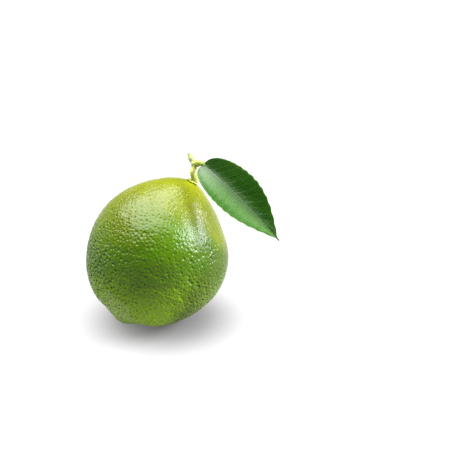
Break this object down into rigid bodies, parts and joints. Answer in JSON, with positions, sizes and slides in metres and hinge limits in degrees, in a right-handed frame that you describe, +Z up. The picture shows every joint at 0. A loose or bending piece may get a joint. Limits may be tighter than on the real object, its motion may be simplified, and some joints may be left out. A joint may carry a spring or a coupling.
{
  "type": "lime",
  "caption": "Whole green lime with a blunt blossom tip, pitted skin, calyx, short forked stem and one leaf.",
  "frame": {"origin": "on the flat spot the fruit rests on, straight below the middle of the fruit", "axes": "+Z up; the fruit's axis leans 29.5 degrees from upright towards its stem end, 26 degrees from +X towards +Y, and the leaf hangs out on the +X side, towards -Y"},
  "size_m": [0.0758, 0.0563, 0.0684],
  "materials": {
    "skin": "waxy, finely pitted",
    "calyx": "dry, matt",
    "stem": "rough bark, matt",
    "petiole": "smooth, satin",
    "leaf": "waxy, satin"
  },
  "bodies": {
    "root": {"fruit": "skin", "calyx": "calyx", "stem": "stem", "petiole": "petiole", "leaf": "leaf"}
  },
  "joints": []
}
